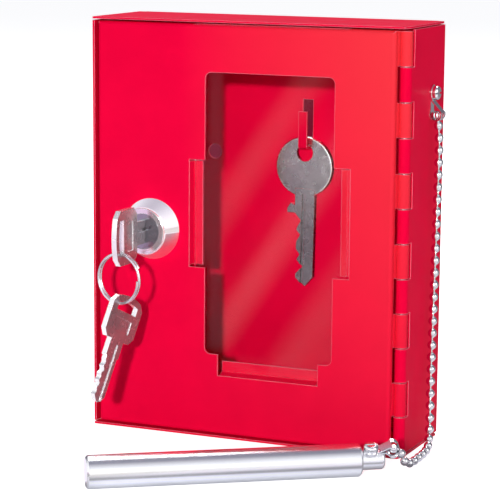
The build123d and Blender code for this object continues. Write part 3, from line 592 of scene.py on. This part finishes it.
def turnedAluminium(values):
    # fine rings round the rod from the lathe
    finish = Finish("turnedAluminium", values["light"], 1.0, values["edge"])
    turn = math.radians(values["turn"])
    axis = Vector((math.cos(turn), math.sin(turn), 0))
    rings = finish.stretched(values["rings"], axis.to_track_quat("X", "Z").inverted().to_euler())
    finish.roughen(values["patches"], values["rough"], rings)
    finish.bump(finish.cloud(values["grooves"], rings), values["grooveDepth"], values["grooveStrength"])
    finish.tint(values["mottle"], values["dark"], values["light"])
    return finish.material


glassLook = {"colour": (0.97, 0.99, 0.98), "rough": 0.02, "index": 1.25}


def clearGlass(values):
    # light and shade pass it as if it weren't there
    finish = Finish("clearGlass", values["colour"])
    finish.shader.inputs["Roughness"].default_value = values["rough"]
    finish.shader.inputs["Transmission Weight"].default_value = 1.0
    finish.shader.inputs["IOR"].default_value = values["index"]
    path = finish.add("LightPath").outputs
    light = finish.maths("MAXIMUM", path["Is Shadow Ray"], path["Is Diffuse Ray"])
    clear = finish.made("BsdfTransparent")
    pane = finish.made("MixShader", light, finish.shader.outputs[0], clear)
    finish.feed(pane, finish.tree.nodes["Material Output"].inputs["Surface"])
    return finish.material


redCoat = powderCoat("redPowderCoat", redLook)
doorCoat = powderCoat("doorPowderCoat", redLook, doorPaintedSheen)
headChrome = polishedChrome("headChrome", headLook, chromeLook)
plugChrome = polishedChrome("plugChrome", plugLook, chromeLook)
collarChrome = collarFinish(collarLook)
zinc = zincPlate(zincLook)
wire = drawnWire(wireLook)
brass = plainMetal("waferBrass", brassLook)
keyNickel = flatKeyFinish(flatKeyLook).material
hookKeyNickel = hookKeyFinish(hookKeyLook).material
ringNickel = tumbledNickel("ringNickel", ringLook).material
nickelChain = plainMetal("chainNickel", chainLook)
beadNickel = plainMetal("beadNickel", beadLook)
darkLink = plainMetal("linkPaintedShade", linkLook)
aluminium = turnedAluminium(rodLook)
glass = clearGlass(glassLook)

finishOf = {
    "case_body": redCoat, "keeper_bracket": redCoat, "door_panel": doorCoat,
    "hinge_pin": wire, "wafer_springs": wire, "glass_pane": glass,
    "lock_collar": collarChrome, "lock_barrel": headChrome, "lock_plug": plugChrome,
    "lock_washer": zinc, "lock_nut": zinc, "lock_cam": zinc, "cam_washer": zinc,
    "cam_screw": zinc, "chain_anchor_nut": zinc, "lock_wafers": brass,
    "lock_key": keyNickel, "spare_key": keyNickel, "emergency_key": hookKeyNickel,
    "key_ring": ringNickel, "chain_anchor_screw": nickelChain,
    "chain_coupling_top": nickelChain, "chain_coupling_bottom": nickelChain,
    "clapper_screw": nickelChain, "clapper_rod": aluminium, "ball_chain": nickelChain,
}


def dress(piece, material):
    piece.data.materials.clear()
    piece.data.materials.append(material)


for nodeName, material in finishOf.items():
    dress(nodes[nodeName], material)
print("finishes on the nodes")


# ---- ball chain: beads and wire links along the points of the CAD's tube, in mm
chainCourse = [
    (62.55, 5.40, 115.8),
    (63.25, 5.45, 110.6),
    (63.10, 5.60, 100.5),
    (62.85, 5.50, 81.0),
    (62.45, 4.90, 47.0),
    (62.30, 4.10, 25.0),
    (62.80, 2.70, 12.6),
    (64.30, -1.90, 5.3),
    (66.10, -7.80, 2.6),
    (67.05, -14.0, 2.1),
    (67.15, -21.5, 1.9),
    (67.10, -27.6, 1.75),
    (66.65, -32.2, 2.3),
    (66.40, -35.3, 4.8),
    (66.10, -36.45, 7.1),
    (65.85, -37.15, 8.3),
]
chain = {
    "ball": 1.6 * mm,
    "link": 0.34 * mm,
    "pitch": 4.4 * mm,
    "first": 0.9,  # from the chain's start to its first ball, in radii of a ball
    "foot": Vector((65.9, -38.02, 8.99)) * mm,  # the ball in the clapper's coupling
    "around": 16,
    "rings": 10,
    "linkSides": 8,
    # the lip of the rolled ball, where the link comes out at each end
    "lip": {"inner": 0.62 * mm, "outer": 0.837 * mm, "length": 0.3 * mm, "out": 0.95, "sides": 12},
}
curveSteps = 24


def splineOf(course):
    curve = bpy.data.curves.new("chainCourse", "CURVE")
    curve.dimensions = "3D"
    curve.resolution_u = curveSteps
    spline = curve.splines.new("NURBS")
    spline.points.add(len(course) - 1)
    for point, place in zip(spline.points, course):
        point.co = (*(Vector(place) * mm), 1)
    spline.order_u = 3
    spline.use_endpoint_u = True
    line = bpy.data.objects.new("chainCourse", curve)
    scene.collection.objects.link(line)
    mesh = bpy.data.meshes.new_from_object(line)
    points = [v.co.copy() for v in mesh.vertices]
    bpy.data.objects.remove(line)
    bpy.data.meshes.remove(mesh)
    return points


def along(points, spots):
    # points at the given distances from the start, with the direction there
    found = []
    walked, i = 0.0, 0
    for spot in spots:
        step = points[i + 1] - points[i]
        while i < len(points) - 2 and walked + step.length < spot:
            walked += step.length
            i += 1
            step = points[i + 1] - points[i]
        found.append((points[i] + step.normalized() * (spot - walked), step.normalized()))
    return found


def addBead(work, place, heading, values):
    ball = bmesh.ops.create_uvsphere(
        work, u_segments=values["around"], v_segments=values["rings"], radius=values["ball"]
    )["verts"]
    turned = Matrix.Translation(place) @ heading.to_track_quat("Z", "Y").to_matrix().to_4x4()
    bmesh.ops.transform(work, matrix=turned, verts=ball)
    lip = values["lip"]
    for side, flip in ((1, 0), (-1, math.pi)):
        rim = bmesh.ops.create_cone(
            work, cap_ends=True, segments=lip["sides"], radius1=lip["outer"], radius2=lip["inner"],
            depth=lip["length"],
        )["verts"]
        out = Matrix.Translation((0, 0, side * values["ball"] * lip["out"]))
        bmesh.ops.transform(work, matrix=turned @ out @ Matrix.Rotation(flip, 4, "X"), verts=rim)


def addLink(work, start, stop, values):
    radius, run = values["link"], stop - start
    rod = bmesh.ops.create_cone(
        work, cap_ends=True, segments=values["linkSides"], radius1=radius, radius2=radius, depth=run.length
    )["verts"]
    turn = run.to_track_quat("Z", "Y").to_matrix().to_4x4()
    bmesh.ops.transform(work, matrix=Matrix.Translation((start + stop) / 2) @ turn, verts=rod)
    for face in {face for corner in rod for face in corner.link_faces}:
        face.material_index = 1


def makeChain(values):
    points = splineOf(chainCourse)
    length = sum((b - a).length for a, b in zip(points, points[1:]))
    first = values["ball"] * values["first"]
    reach = length - first - values["ball"]
    count = round(reach / values["pitch"])
    pitch = reach / count
    beads = along(points, [first + pitch * i for i in range(count + 1)])
    work = bmesh.new()
    for place, heading in beads:
        addBead(work, place, heading, values)
    places = [points[0]] + [place for place, heading in beads] + [values["foot"]]
    for start, stop in zip(places, places[1:]):
        addLink(work, start, stop, values)
    # create_uvsphere leaves its faces in another order on each run
    work.verts.index_update()
    work.faces.sort(key=lambda face: sum(corner.index ** 3 for corner in face.verts))
    piece = objectFrom("chainBeads", work)
    piece.data.shade_smooth()
    dress(piece, beadNickel)
    # the second slot darkens the links, painted shade between the beads
    piece.data.materials.append(darkLink)
    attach(piece, "case")
    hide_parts("ball_chain")
    print("chain", round(length / mm, 1), "mm,", count + 1, "beads, pitch", round(pitch / mm, 2))


makeChain(chain)
